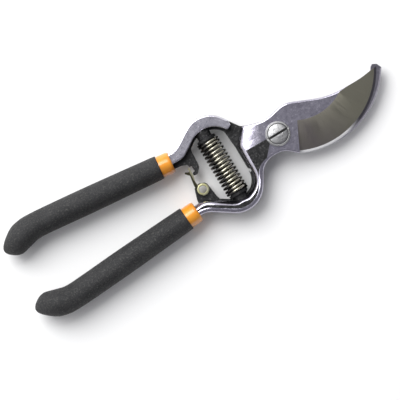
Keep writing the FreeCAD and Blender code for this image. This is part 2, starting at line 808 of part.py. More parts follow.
catch_washer = new_body("catch_washer")
disc(catch_washer, "ring", "Sizes.catch_ring", LUG_TOP, "Sizes.catch_washer_thick",
     "Sizes.eyelet_x", "Sizes.eyelet_y")
drill(catch_washer, "bore", "Sizes.eyelet_radius", "Sizes.eyelet_x", "Sizes.eyelet_y")

catch = new_body("catch_plate")
disc(catch, "ring", "Sizes.catch_ring", PLATE, "Sizes.catch_thick", "Sizes.eyelet_x", "Sizes.eyelet_y")
pad(catch, "arm", outline([
    (ex - 3.1, ey + 0.2, 0),
    (ex - 2.9, ey + 4.5, 6),
    (ex - 2.1, ey + 9.2, 0.6),
    (ex - 4.1, ey + 11.4, 0.4),
    (ex - 3.4, ey + 12.0, 0.4),
    (ex - 1.4, ey + 10.7, 0.6),
    (ex - 1.25, ey + 13.0, 0.3),
    (ex - 0.4, ey + 13.0, 0.3),
    (ex - 0.5, ey + 8.6, 2),
    (ex - 1.6, ey + 4.5, 4),
    (ex - 0.6, ey + 2.6, 0),
]), PLATE, "Sizes.catch_thick")
pad(catch, "finger", outline([
    (ex - 1.25, ey + 10.6, 0.2),
    (ex - 0.45, ey + 10.6, 0.2),
    (ex - 0.45, ey + 12.8, 0.2),
    (ex - 1.25, ey + 12.8, 0.2),
]), PLATE + " - Sizes.finger_depth", "Sizes.finger_depth + 0.2")
drill(catch, "bore", "Sizes.eyelet_radius + Sizes.catch_gap", "Sizes.eyelet_x", "Sizes.eyelet_y")

eyelet = new_body("catch_eyelet")
flange_floor = plate_floor + size("catch_thick") + size("catch_gap")
flange_top = flange_floor + size("flange_thick")
r_bore, r_barrel, r_flange = size("eyelet_bore"), size("eyelet_radius"), size("eyelet_flange")
rolled = lap_floor - size("flange_thick")
revolve(eyelet, "turned_eyelet", outline([
    (r_bore, rolled, 0),
    (r_flange, rolled, 0.2),
    (r_flange, lap_floor, 0),
    (r_barrel, lap_floor, 0),
    (r_barrel, flange_floor, 0),
    (r_flange, flange_floor, 0),
    (r_flange, flange_top, 0.2),
    (r_bore, flange_top, 0),
]), "XZ_Plane", "V_Axis")
eyelet.Placement = FreeCAD.Placement(V(ex, ey, 0), FreeCAD.Rotation())

# ---------------------------------------------------------------- sleeves and grips


def on_handle(body, side):
    """Puts a piece drawn about its own X axis on a handle, with its front end at the mouth."""
    body.Placement = FreeCAD.Placement(
        V(size(side + "_mouth_x"), size(side + "_mouth_y"), size("mid_level")),
        FreeCAD.Rotation(V(0, 0, 1), size(side + "_angle")))


def oval(body, name, behind, half_width, half_height, shift=0.0):
    """An oval across the handle, a distance behind the mouth, shifted along Y."""
    sketch = new_sketch(body, name, "YZ_Plane")
    sketch.AttachmentOffset = FreeCAD.Placement(V(0, 0, -behind), FreeCAD.Rotation())
    upright = half_height > half_width
    if upright:
        ellipse = Part.Ellipse(V(shift, half_height, 0), V(shift - half_width, 0, 0), V(shift, 0, 0))
    else:
        ellipse = Part.Ellipse(V(shift + half_width, 0, 0), V(shift, half_height, 0), V(shift, 0, 0))
    first = -math.pi / 2 if upright else 0
    for quarter in range(4):
        turn = first + quarter * math.pi / 2
        sketch.addGeometry(Part.ArcOfEllipse(ellipse, turn, turn + math.pi / 2), False)
    return sketch


def cut_back(body, name, sketch, length):
    """A pocket from a sketch towards the rear of the handle."""
    before = body.Shape.Volume
    pocket = body.newObject("PartDesign::Pocket", name)
    pocket.Profile = sketch
    pocket.setExpression("Length", length)
    doc.recompute()
    if body.Shape.Volume >= before:
        raise RuntimeError(name + " cut nothing")


def sleeve(side):
    """Oval tube closed at the rear, with the tang's own shape inside."""
    body = new_body(side + "_sleeve")
    section = oval(body, "section", 0, size("sleeve_width") / 2, size("sleeve_height") / 2)
    tube = body.newObject("PartDesign::Pad", "tube")
    tube.Profile = section
    tube.setExpression("Length", "Sizes.sleeve_length")
    tube.Reversed = True
    doc.recompute()
    mouth = [n for n, e in enumerate(body.Shape.Edges, start=1) if abs(e.BoundBox.XMin) < 1e-6]
    lip = body.newObject("PartDesign::Fillet", "rounded_mouth")
    lip.Base = (tube, ["Edge%d" % n for n in mouth])
    lip.setExpression("Radius", "Sizes.sleeve_round")
    doc.recompute()
    hollow = new_sketch(body, "tang_section", "YZ_Plane")
    half = size(side + "_tang_width") / 2
    thick = size("lap_thick")
    hollow.addGeometry(outline([
        (-half, -thick, 0), (half, -thick, 0), (half, thick, 0), (-half, thick, 0),
    ]), False)
    cut_back(body, "tang_hollow", hollow, "Sizes.tang_length")
    on_handle(body, side)
    return body


def grip(side, turn):
    """Foam grip: a long oval whose end turns in (turn is +1 or -1 along Y), closed at the rear."""
    body = new_body(side + "_grip")
    length = size("grip_length")
    front = size("grip_setback")
    wide = size("grip_width") / 2
    high = size("grip_height") / 2
    hook_in = size("grip_hook") * turn
    sections = [
        (0.0, 0.0, size("grip_front_width") / 2, high * 0.95),
        (0.22, 0.0, wide * 0.97, high),
        (0.46, 0.0, wide, high),
        (0.69, 0.0, wide, high),
        (0.79, 0.06, wide * 1.01, high),
        (0.85, 0.33, wide * 1.10, high * 0.99),
        (0.91, 0.80, wide * 1.13, high * 0.93),
        (0.945, 1.00, wide * 0.98, high * 0.82),
        (0.97, 1.10, wide * 0.78, high * 0.66),
        (0.99, 1.18, wide * 0.50, high * 0.42),
        (1.0, 1.22, wide * 0.24, high * 0.20),
    ]
    sketches = [
        oval(body, "oval_%d" % k, front + place * length, w, h, shift * hook_in)
        for k, (place, shift, w, h) in enumerate(sections)
    ]
    foam = body.newObject("PartDesign::AdditiveLoft", "foam")
    foam.Profile = sketches[0]
    foam.Sections = sketches[1:]
    foam.Ruled = True
    doc.recompute()
    hollow = oval(body, "sleeve_section", 0, size("sleeve_width") / 2, size("sleeve_height") / 2)
    cut_back(body, "sleeve_hollow", hollow, "Sizes.sleeve_length")
    on_handle(body, side)
    return body


upper_sleeve = sleeve("upper")
upper_grip = grip("upper", -1)
lower_sleeve = sleeve("lower")
lower_grip = grip("lower", 1)
doc.recompute()

# ---------------------------------------------------------------- checks and files

nodes = [
    blade_lever, hook_lever, bolt, washer, nut, spring, catch_washer, catch, eyelet,
    upper_sleeve, upper_grip, lower_sleeve, lower_grip,
]
for item in doc.Objects:
    if "Invalid" in item.State or "Error" in item.State:
        raise RuntimeError("%s failed: %s" % (item.Name, item.State))
for node in nodes:
    if node.Shape.isNull() or not node.Shape.isValid():
        raise RuntimeError(node.Label + " has no valid shape")
os.makedirs("parts", exist_ok=True)
for node in nodes:
    node.Shape.exportStep("parts/%s.step" % node.Label)
    print("%-14s %9.1f mm3, %d solid" % (node.Label, node.Shape.Volume, len(node.Shape.Solids)))
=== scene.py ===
"""Looks of the forged bypass secateurs: levers, pivot, spring, catch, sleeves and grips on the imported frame.

Metres. The origin is on the pivot axis at the plane that the tool lies on, +X runs to the tip, +Y is the hook
lever's handle and +Z leaves the face with the bolt head.
"""

import math

import bpy
from mathutils import Matrix, Vector


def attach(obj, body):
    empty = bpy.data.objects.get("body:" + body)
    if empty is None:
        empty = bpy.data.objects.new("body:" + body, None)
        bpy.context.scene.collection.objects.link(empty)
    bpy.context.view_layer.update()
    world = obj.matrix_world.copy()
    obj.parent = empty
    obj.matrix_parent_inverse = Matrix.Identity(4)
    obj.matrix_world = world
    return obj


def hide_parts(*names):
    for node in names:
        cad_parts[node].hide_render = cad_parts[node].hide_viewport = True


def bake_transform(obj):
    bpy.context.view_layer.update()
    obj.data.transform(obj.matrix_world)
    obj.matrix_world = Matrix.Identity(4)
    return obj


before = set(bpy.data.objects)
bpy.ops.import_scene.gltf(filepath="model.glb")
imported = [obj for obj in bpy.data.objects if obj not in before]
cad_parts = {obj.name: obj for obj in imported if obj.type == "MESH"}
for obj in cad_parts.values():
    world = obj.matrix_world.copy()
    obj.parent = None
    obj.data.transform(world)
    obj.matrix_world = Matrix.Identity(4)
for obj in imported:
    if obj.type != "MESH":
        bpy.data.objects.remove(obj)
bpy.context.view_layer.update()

MM = 0.001
MID = 9.0 * MM
LAP_ROOF = 13.5 * MM
LOOP_X = -31.6 * MM
SPRING_X = -32.3 * MM
EDGE_CENTRE = Vector((23.5, 24.1, 0)) * MM
GRIND_RADIUS = 26.0 * MM
BEVEL_RADIUS = 41.2 * MM
EYELET = Vector((-46.8, -4.5, 0)) * MM
EYELET_RIM = 2.82 * MM
EYELET_BORE = 1.96 * MM

# the blade lever's wall round the spring: a round loop, then a slanting wall and the tang's inner side
LOOP_LOW_Y = -8.3 * MM
LOOP_INNER = 10.5 * MM
TANG_START_X = -42 * MM
TANG_SLOPE = 0.066
TANG_LEVEL = -6.0 * MM
SLANT_X, SLANT_Y, SLANT_LEVEL = 0.773, -0.634, 19.2 * MM
SLANT_END_Y = -4 * MM

# painted shade on the bolt's head: how wide, high and far out it goes in the slot, and a ring round the face
SLOT_HALF = 0.66 * MM
SLOT_SHADE_TOP = LAP_ROOF + 1.95 * MM
SLOT_REACH = 5.35 * MM
RING_RADIUS = 5.25 * MM
RING_HALF = 0.2 * MM

# each sleeve's mouth: X and Y in millimetres, the handle's angle, and the side that its end turns to
HANDLES = {"upper": (-53.3, 15.7, -6.1, -1), "lower": (-54.8, -12.5, 3.8, 1)}


# ---------------------------------------------------------------- bench work


def pick(piece):
    """Makes this piece the only one selected."""
    bpy.ops.object.select_all(action="DESELECT")
    piece.select_set(True)
    bpy.context.view_layer.objects.active = piece


def open_mesh(piece):
    pick(piece)
    bpy.ops.object.mode_set(mode="EDIT")


def close_mesh():
    bpy.ops.object.mode_set(mode="OBJECT")


def settle(piece):
    """Moves a finished piece's place into its mesh."""
    piece.data.transform(piece.matrix_world)
    piece.matrix_world = Matrix.Identity(4)
    piece.data.update()


def smooth(piece, angle):
    pick(piece)
    bpy.ops.object.shade_smooth_by_angle(angle=math.radians(angle))


def apply_modifier(piece, kind, **settings):
    pick(piece)
    bpy.ops.object.modifier_add(type=kind)
    modifier = piece.modifiers[-1]
    for key, value in settings.items():
        setattr(modifier, key, value)
    bpy.ops.object.modifier_apply(modifier=modifier.name)


def place_on(piece, body, slot, *nodes):
    """Says which body a piece rides on and which solids it stands for; the slot, which names its finish, is
    not used.
    """
    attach(piece, body)
    if nodes:
        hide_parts(*nodes)


def joined_copy(node, name, break_edge=0.0, sharper_than=40, parted_at=None):
    """A piece with a node's own shape: its triangles joined, its sharp edges broken by a small round.

    Its faces can be parted along a plane across X, so that the two sides can be finished differently.
    """
    piece = bpy.data.objects.new(name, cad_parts[node].data.copy())
    piece.data.name = name
    piece.data.materials.clear()
    bpy.context.scene.collection.objects.link(piece)
    open_mesh(piece)
    bpy.ops.mesh.select_all(action="SELECT")
    bpy.ops.mesh.remove_doubles(threshold=MM * 1e-4)
    bpy.ops.mesh.dissolve_limited(angle_limit=math.radians(0.3))
    close_mesh()
    if break_edge:
        apply_modifier(piece, "BEVEL", width=break_edge, segments=2, limit_method="ANGLE",
                       angle_limit=math.radians(sharper_than), use_clamp_overlap=True)
    if parted_at is not None:
        open_mesh(piece)
        bpy.ops.mesh.select_all(action="SELECT")
        bpy.ops.mesh.bisect(plane_co=(parted_at, 0, 0), plane_no=(1, 0, 0))
        close_mesh()
    smooth(piece, 35)
    apply_modifier(piece, "WEIGHTED_NORMAL", keep_sharp=True, weight=80)
    return piece


# ---------------------------------------------------------------- finishes


def add(material, kind, **settings):
    """A node; settings whose names are inputs fill sockets, the others are its properties."""
    node = material.node_tree.nodes.new(kind)
    for key, value in settings.items():
        socket = key.replace("_", " ")
        if hasattr(node, key):
            setattr(node, key, value)
        elif socket in node.inputs:
            node.inputs[socket].default_value = value
        else:
            raise KeyError(kind + " has no " + key)
    return node


def join(material, source, target):
    material.node_tree.links.new(source, target)


def new_finish(name, colour, metallic, roughness):
    material = bpy.data.materials.new(name)
    material.use_nodes = True
    shader = material.node_tree.nodes["Principled BSDF"]
    shader.inputs["Base Color"].default_value = (*colour, 1)
    shader.inputs["Metallic"].default_value = metallic
    shader.inputs["Roughness"].default_value = roughness
    return material, shader


def place_node(material):
    found = [n for n in material.node_tree.nodes if n.bl_idname == "ShaderNodeTexCoord"]
    return (found or [add(material, "ShaderNodeTexCoord")])[0].outputs["Object"]


def grain(material, per_metre, detail=2.0, rough=0.5, stretch=(1, 1, 1), turn=0.0):
    """Noise fixed to the piece, as a socket from 0 to 1."""
    mapping = add(material, "ShaderNodeMapping")
    mapping.inputs["Scale"].default_value = stretch
    mapping.inputs["Rotation"].default_value = (0, 0, math.radians(turn))
    join(material, place_node(material), mapping.inputs["Vector"])
    noise = add(material, "ShaderNodeTexNoise", Scale=per_metre, Detail=detail, Roughness=rough)
    join(material, mapping.outputs["Vector"], noise.inputs["Vector"])
    return noise.outputs["Fac"]


def spread(material, source, low, high, to_low=0.0, to_high=1.0):
    """Stretches a socket's range."""
    node = add(material, "ShaderNodeMapRange")
    for key, value in (("From Min", low), ("From Max", high), ("To Min", to_low), ("To Max", to_high)):
        node.inputs[key].default_value = value
    join(material, source, node.inputs["Value"])
    return node.outputs["Result"]


def blend_colours(material, share, first, second):
    """A mix of two colours; either may be a socket."""
    node = add(material, "ShaderNodeMix", data_type="RGBA")
    for socket, colour in ((node.inputs[6], first), (node.inputs[7], second)):
        if isinstance(colour, tuple):
            socket.default_value = (*colour, 1)
        else:
            join(material, colour, socket)
    join(material, share, node.inputs[0])
    return node.outputs[2]


def raise_surface(material, shader, height, distance, strength=1.0, under=None):
    """Bump from a height socket; under is an earlier bump that it is laid on."""
    node = add(material, "ShaderNodeBump", Strength=strength, Distance=distance)
    join(material, height, node.inputs["Height"])
    if under is not None:
        join(material, under.outputs["Normal"], node.inputs["Normal"])
    join(material, node.outputs["Normal"], shader.inputs["Normal"])
    return node


def place_parts(material):
    """The three coordinates of a point of the piece, as sockets X, Y and Z."""
    parts = add(material, "ShaderNodeSeparateXYZ")
    join(material, place_node(material), parts.inputs["Vector"])
    return parts.outputs


def worked(material, operation, *values):
    """Arithmetic on sockets or numbers."""
    node = add(material, "ShaderNodeMath", operation=operation)
    for socket, value in zip(node.inputs, values):
        if isinstance(value, (int, float)):
            socket.default_value = value
        else:
            join(material, value, socket)
    return node.outputs["Value"]


def plan_distance(material, middle):
    """Distance from an upright axis through a point, as a socket."""
    flat = add(material, "ShaderNodeVectorMath", operation="MULTIPLY")
    flat.inputs[1].default_value = (1, 1, 0)
    join(material, place_node(material), flat.inputs[0])
    away = add(material, "ShaderNodeVectorMath", operation="DISTANCE")
    away.inputs[1].default_value = middle
    join(material, flat.outputs["Vector"], away.inputs[0])
    return away.outputs["Value"]


def inside_distance(material):
    """How far a point of the blade lever lies from the wall round the spring, and its Y, as sockets."""
    x, y, _ = place_parts(material)
    across = worked(material, "SUBTRACT", x, LOOP_X)
    below = worked(material, "MINIMUM", worked(material, "SUBTRACT", y, LOOP_LOW_Y), 0.0)
    squares = worked(material, "ADD", worked(material, "POWER", across, 2.0),
                     worked(material, "POWER", below, 2.0))
    loop = worked(material, "SUBTRACT", worked(material, "SQRT", squares), LOOP_INNER)
    beyond = worked(material, "MAXIMUM", worked(material, "SUBTRACT", x, TANG_START_X), 0.0)
    tang = worked(material, "SUBTRACT", worked(material, "MULTIPLY_ADD", x, TANG_SLOPE, TANG_LEVEL), y)
    tang = worked(material, "MULTIPLY_ADD", beyond, 4.0, tang)
    slant = worked(material, "ADD", worked(material, "MULTIPLY", x, SLANT_X),
                   worked(material, "MULTIPLY_ADD", y, SLANT_Y, SLANT_LEVEL))
    under = worked(material, "MAXIMUM", worked(material, "SUBTRACT", SLANT_END_Y, y), 0.0)
    slant = worked(material, "MULTIPLY_ADD", under, 4.0, slant)
    nearest = worked(material, "SMOOTH_MIN", loop, slant, 6 * MM)
    nearest = worked(material, "SMOOTH_MIN", nearest, tang, 4 * MM)
    return worked(material, "MAXIMUM", nearest, 0.0), y


def polished_chrome(name, low, high, crowned):
    """Chromed forging, buffed by hand: slightly uneven, with a fine haze of scratches.

    A crowned one bulges: the surface falls away towards the wall round the spring.
    """
    material, shader = new_finish(name, low, 1.0, 0.22)
    cloud = grain(material, 70, 3.0)
    tint = blend_colours(material, spread(material, cloud, 0.35, 0.65), low, high)
    specks = spread(material, grain(material, 1300, 3.0, 0.7), 0.58, 0.75)
    tint = blend_colours(material, specks, tint, (0.74, 0.73, 0.78))
    pits = spread(material, grain(material, 1000, 4.0, 0.8), 0.44, 0.30)
    tint = blend_colours(material, pits, tint, (0.26, 0.25, 0.30))
    under = None
    height = place_parts(material)["Z"]
    # painted shade: the lowest band of the rim walls above the lap is darkened, a painted dark reflection of
    # the shaded floor beside the lever
    rim_top, rim_foot = (12.45 * MM, 11.8 * MM) if crowned else (13.15 * MM, 12.8 * MM)
    above_lap = worked(material, "GREATER_THAN", height, MID + 0.2 * MM)
    painted_shade_rim = worked(material, "MULTIPLY", spread(material, height, rim_top, rim_foot), above_lap)
    tint = blend_colours(material, painted_shade_rim, tint, (0.20, 0.19, 0.23))
    # painted shade: the hook lever darkens past the pivot towards its jaw, where it lies under the blade
    if not crowned:
        tint = blend_colours(material, spread(material, place_parts(material)["X"], -10 * MM, 5 * MM),
                             tint, (0.35, 0.335, 0.385))
    join(material, tint, shader.inputs["Base Color"])
    haze = grain(material, 700, 4.0, 0.65)
    join(material, spread(material, haze, 0.3, 0.7, 0.17, 0.28), shader.inputs["Roughness"])
    if crowned:
        distance, y = inside_distance(material)
        reach = spread(material, y, -19 * MM, 4 * MM, 5.6 * MM, 12.5 * MM)
        gone = worked(material, "MINIMUM", worked(material, "DIVIDE", distance, reach), 1.0)
        left = worked(material, "POWER", worked(material, "SUBTRACT", 1.0, gone), 2.0)
        steep = spread(material, y, -15 * MM, -7 * MM, -270.0, -130.0)
        fall = worked(material, "MULTIPLY", left, worked(material, "MULTIPLY", reach, steep))
        under = raise_surface(material, shader, fall, 0.0013, 1.0)
    waves = raise_surface(material, shader, grain(material, 200, 2.0), 0.00010, 0.5, under)
    scratches = grain(material, 1500, 2.0, 0.6, stretch=(0.05, 1, 1), turn=24)
    raise_surface(material, shader, scratches, 0.000025, 0.7, waves)
    return material


def black_forging():
    """Rough blackened scale, as the hammer left it, with a few worn specks."""
    material, shader = new_finish("black_forging", (0.03, 0.03, 0.032), 0.55, 0.55)
    lumps = grain(material, 900, 3.0, 0.6)
    worn = spread(material, lumps, 0.55, 0.75)
    tint = blend_colours(material, worn, (0.014, 0.014, 0.015), (0.11, 0.108, 0.11))
    join(material, tint, shader.inputs["Base Color"])
    join(material, spread(material, grain(material, 400), 0.3, 0.7, 0.42, 0.68), shader.inputs["Roughness"])
    pits = raise_surface(material, shader, lumps, 0.00035, 0.9)
    raise_surface(material, shader, grain(material, 300, 1.0), 0.0006, 0.5, pits)
    return material


def ground_steel():
    """The ground face of the blade: fine lines that run out from the middle of the edge's arc."""
    material, shader = new_finish("ground_steel", (0.30, 0.285, 0.25), 1.0, 0.34)
    moved = add(material, "ShaderNodeVectorMath", operation="SUBTRACT")
    moved.inputs[1].default_value = EDGE_CENTRE
    join(material, place_node(material), moved.inputs[0])
    parts = add(material, "ShaderNodeSeparateXYZ")
    join(material, moved.outputs["Vector"], parts.inputs["Vector"])
    angle = add(material, "ShaderNodeMath", operation="ARCTAN2")
    join(material, parts.outputs["Y"], angle.inputs[0])
    join(material, parts.outputs["X"], angle.inputs[1])
    length = add(material, "ShaderNodeVectorMath", operation="LENGTH")
    join(material, moved.outputs["Vector"], length.inputs[0])
    polar = add(material, "ShaderNodeCombineXYZ")
    join(material, angle.outputs["Value"], polar.inputs["X"])
    join(material, length.outputs["Value"], polar.inputs["Y"])
    lines = add(material, "ShaderNodeTexNoise", Scale=220.0, Detail=3.0, Roughness=0.7)
    join(material, polar.outputs["Vector"], lines.inputs["Vector"])
    tint = blend_colours(material, spread(material, lines.outputs["Fac"], 0.3, 0.7),
                         (0.235, 0.22, 0.185), (0.32, 0.305, 0.25))
    cloud = spread(material, grain(material, 60, 2.0), 0.35, 0.7)
    tint = blend_colours(material, cloud, tint, (0.285, 0.255, 0.25))
    paler = spread(material, place_parts(material)["X"], 14 * MM, 40 * MM)
    join(material, blend_colours(material, paler, tint, (0.40, 0.385, 0.30)), shader.inputs["Base Color"])
    join(material, spread(material, lines.outputs["Fac"], 0.25, 0.75, 0.28, 0.42), shader.inputs["Roughness"])
    raise_surface(material, shader, lines.outputs["Fac"], 0.00002, 0.7)
    return material


def honed_edge():
    """The steep bevel along the cutting edge: a painted highlight at its heel, white and only partly metal,
    and painted shade towards the tip.
    """
    material, shader = new_finish("honed_edge", (0.80, 0.80, 0.82), 1.0, 0.2)
    # painted highlight at the heel, painted shade from 31 mm on towards the tip
    painted_shade_share = spread(material, place_parts(material)["X"], 31 * MM, 40 * MM)
    tint = blend_colours(material, painted_shade_share, (0.90, 0.90, 0.91), (0.17, 0.16, 0.18))
    join(material, tint, shader.inputs["Base Color"])
    join(material, spread(material, painted_shade_share, 0.0, 1.0, 0.35, 1.0), shader.inputs["Metallic"])
    raise_surface(material, shader, grain(material, 2500, 2.0, stretch=(0.2, 1, 1)), 0.00001, 0.5)
    return material


def bolt_chrome():
    """Chrome over a turned surface: knocks from the screwdriver, painted shade in the slot and in a groove
    ring round the face.
    """
    material, shader = new_finish("bolt_chrome", (0.5, 0.5, 0.5), 1.0, 0.45)
    knocks = spread(material, grain(material, 700, 4.0, 0.75), 0.52, 0.68)
    tint = blend_colours(material, knocks, (0.44, 0.44, 0.445), (0.26, 0.255, 0.255))
    parts = place_parts(material)
    slot = worked(material, "LESS_THAN", worked(material, "ABSOLUTE", parts["Y"]), SLOT_HALF)
    head = worked(material, "GREATER_THAN", parts["Z"], LAP_ROOF)
    low = worked(material, "LESS_THAN", parts["Z"], SLOT_SHADE_TOP)
    groove = worked(material, "MULTIPLY", head, low)
    from_axis = plan_distance(material, (0, 0, 0))
    inside = worked(material, "LESS_THAN", from_axis, SLOT_REACH)
    from_ring = worked(material, "ABSOLUTE", worked(material, "SUBTRACT", from_axis, RING_RADIUS))
    ring = worked(material, "MULTIPLY", worked(material, "LESS_THAN", from_ring, RING_HALF),
                  worked(material, "MULTIPLY", head, 0.75))
    # painted shade: the slot and the groove ring round the face are darkened as recesses
    painted_shade = worked(material, "MULTIPLY", slot, worked(material, "MULTIPLY", groove, inside))
    painted_shade = worked(material, "MAXIMUM", painted_shade, ring)
    join(material, blend_colours(material, painted_shade, tint, (0.05, 0.05, 0.05)), shader.inputs["Base Color"])
    rough = spread(material, grain(material, 500, 2.0), 0.3, 0.7, 0.38, 0.54)
    join(material, rough, shader.inputs["Roughness"])
    dents = raise_surface(material, shader, knocks, 0.00010, 0.8)
    raise_surface(material, shader, grain(material, 330, 1.0), 0.00020, 0.4, dents)
    return material


def spring_wire():
    """Spring steel, straw-coloured and bright, with painted shade towards the handles and along the blade's
    side, and on the coils' outer tips.
    """
    material, shader = new_finish("spring_wire", (0.40, 0.37, 0.30), 1.0, 0.24)
    patches = spread(material, grain(material, 300, 2.0), 0.35, 0.7)
    straw = blend_colours(material, patches, (0.56, 0.54, 0.43), (0.36, 0.34, 0.29))
    ragged = worked(material, "MULTIPLY", grain(material, 260, 3.0, 0.7), 5.0 * MM)
    place = worked(material, "ADD", place_parts(material)["X"], ragged)
    # painted shade: the coils' side towards the handles is darkened, and their outer tips carry a painted dark
    # reflection of the shaded floor
    painted_shade_side = spread(material, place, -30.2 * MM, -32.2 * MM)
    painted_dark_tips = spread(material, place, -25.4 * MM, -24.4 * MM)
    dark = worked(material, "MAXIMUM", painted_shade_side, painted_dark_tips)
    join(material, blend_colours(material, dark, straw, (0.06, 0.057, 0.055)), shader.inputs["Base Color"])
    rough = spread(material, grain(material, 1500, 2.0), 0.3, 0.7, 0.18, 0.34)
    join(material, rough, shader.inputs["Roughness"])
    raise_surface(material, shader, grain(material, 1800, 2.0), 0.00002, 0.6)
    return material


def yellow_plating():
    """Zinc plating with a pale yellow passivation, darker along the catch's arm and darkest at its end, with
    painted shade in the eyelet's bore.
    """
    material, shader = new_finish("yellow_plating", (0.80, 0.76, 0.38), 1.0, 0.28)
    cloud = spread(material, grain(material, 500, 2.0), 0.35, 0.65)
    fresh = blend_colours(material, cloud, (0.80, 0.78, 0.40), (0.92, 0.90, 0.62))
    away = plan_distance(material, EYELET)
    arm = spread(material, away, EYELET_RIM, EYELET_RIM + 0.13 * MM)
    x = place_parts(material)["X"]
    ragged = worked(material, "MULTIPLY", grain(material, 500), MM)
    # the catch's arm is darker, and darkest at its end past x = -47.5 mm
    darkest_end = spread(material, worked(material, "ADD", x, ragged), -47.5 * MM, -48.0 * MM)
    worn = blend_colours(material, darkest_end, (0.50, 0.48, 0.33), (0.075, 0.07, 0.045))
    # painted shade: the wall inside the eyelet's bore is darkened
    painted_shade_bore = worked(material, "LESS_THAN", away, EYELET_BORE)
    tint = blend_colours(material, arm, fresh, worn)
    join(material, blend_colours(material, painted_shade_bore, tint, (0.16, 0.155, 0.10)), shader.inputs["Base Color"])
    raise_surface(material, shader, grain(material, 1200, 2.0), 0.00004, 0.5)
    return material


def orange_vinyl():
    """Glossy dipped plastic."""
    material, shader = new_finish("orange_vinyl", (0.72, 0.27, 0.02), 0.0, 0.28)
    cloud = spread(material, grain(material, 120, 2.0), 0.35, 0.65)
    tint = blend_colours(material, cloud, (0.68, 0.24, 0.018), (0.76, 0.30, 0.025))
    join(material, tint, shader.inputs["Base Color"])
    shader.inputs["Coat Weight"].default_value = 0.35
    shader.inputs["Coat Roughness"].default_value = 0.08
    raise_surface(material, shader, grain(material, 220, 2.0), 0.00015, 0.4)
    return material


def grip_foam():
    """Fine-grained foam rubber: closed cells with worn, paler tops."""
    material, shader = new_finish("grip_foam", (0.03, 0.03, 0.03), 0.0, 0.78)
    cells = grain(material, 1300, 4.0, 0.8)
    cloud = grain(material, 150, 3.0)
    dark = blend_colours(material, spread(material, cloud, 0.35, 0.7),
                         (0.011, 0.011, 0.0125), (0.021, 0.021, 0.0225))
    join(material, blend_colours(material, spread(material, cells, 0.53, 0.70), dark, (0.075, 0.075, 0.068)),
         shader.inputs["Base Color"])
    join(material, spread(material, cells, 0.3, 0.7, 0.85, 0.62), shader.inputs["Roughness"])
    fine = raise_surface(material, shader, cells, 0.00035, 1.0)
    raise_surface(material, shader, grain(material, 500, 2.0), 0.0003, 0.4, fine)
    return material


PLATE_CHROME = polished_chrome("plate_chrome", (0.45, 0.43, 0.51), (0.53, 0.51, 0.60), True)
LOOP_CHROME = polished_chrome("loop_chrome", (0.66, 0.645, 0.72), (0.78, 0.765, 0.84), False)
BLACK = black_forging()
GROUND = ground_steel()
HONED = honed_edge()
BOLT = bolt_chrome()
WIRE = spring_wire()
PLATING = yellow_plating()
VINYL = orange_vinyl()
FOAM = grip_foam()


def finish_faces(piece, finishes, choice):
    """Gives each face the finish whose number the choice returns for its middle and its normal."""
    for material in finishes:
        piece.data.materials.append(material)
    for face in piece.data.polygons:
        face.material_index = choice(face.center, face.normal)


# ---------------------------------------------------------------- levers


def faces_spring_space(middle, normal):
    """Whether a wall looks into the space round the spring."""
    inward = Vector((LOOP_X, 1.5 * MM, 0)) - Vector((middle.x, middle.y, 0))
    return inward.length < 26 * MM and inward.dot(normal) > 0 and abs(normal.z) < 0.3


def on_stud(middle, normal):
    """Whether a face belongs to the collar or the neck of one of the two studs that hold the spring."""
    outward = Vector((middle.x - SPRING_X, 0, middle.z - MID))
    if outward.length < 5.3 * MM and (-17 * MM < middle.y < -9 * MM or 9 * MM < middle.y < 17.2 * MM):
        return True
    return outward.length < 3.9 * MM and abs(middle.y) > 9 * MM and outward.normalized().dot(normal) > 0.9


def blade_finish(middle, normal):
    """0 chrome, 1 black scale, 2 ground face, 3 honed bevel."""
    from_centre = (Vector((middle.x, middle.y, 0)) - EDGE_CENTRE).length
    sloping = 0.3 < normal.z < 0.9995 and middle.z < LAP_ROOF - 0.01 * MM
    if middle.x > 5 * MM and sloping and from_centre > GRIND_RADIUS:
        if from_centre > BEVEL_RADIUS:
            return 3
        if normal.z > 0.9:
            return 2
    if middle.x < -12 * MM and middle.z < MID - 1 * MM and normal.z < -0.5:
        return 1
    if middle.x < -12 * MM and middle.y > -23.5 * MM:
        if faces_spring_space(middle, normal):
            return 1
        if middle.z < LAP_ROOF - 2.4 * MM and normal.z > 0.5:
            return 1
    near_eyelet = (Vector((middle.x, middle.y, 0)) - EYELET).length
    if near_eyelet < 7.4 * MM and middle.y > -11.5 * MM and middle.z < MID + 0.1 * MM:
        return 1
    return 1 if on_stud(middle, normal) else 0


def hook_finish(middle, normal):
    """0 chrome, 1 black scale."""
    if middle.x > -8 * MM:
        return 0
    on_face = abs(middle.z - LAP_ROOF) < 0.02 * MM and normal.z > 0.999
    past_loop = middle.y > 21.3 * MM or middle.x < -37.5 * MM or middle.x > -27 * MM
    on_rim = middle.z > LAP_ROOF - 1.0 * MM and past_loop
    if on_face or on_rim:
        return 0
    if on_stud(middle, normal):
        return 1
    if middle.z < MID and abs(normal.z) > 0.5:
        return 1
    if faces_spring_space(middle, normal):
        return 1
    in_lug = -50 * MM < middle.x < -38 * MM and middle.y < 14 * MM
    return 1 if in_lug and middle.z < MID else 0


def make_blade_lever():
    piece = joined_copy("blade_lever", "blade_lever_forging", 0.15 * MM)
    finish_faces(piece, (PLATE_CHROME, BLACK, GROUND, HONED), blade_finish)
    place_on(piece, "blade_side", "forged_steel", "blade_lever")


def make_hook_lever():
    piece = joined_copy("hook_lever", "hook_lever_forging", 0.15 * MM, parted_at=-8 * MM)
    finish_faces(piece, (LOOP_CHROME, BLACK), hook_finish)
    place_on(piece, "hook_side", "forged_steel", "hook_lever")


# ---------------------------------------------------------------- pivot


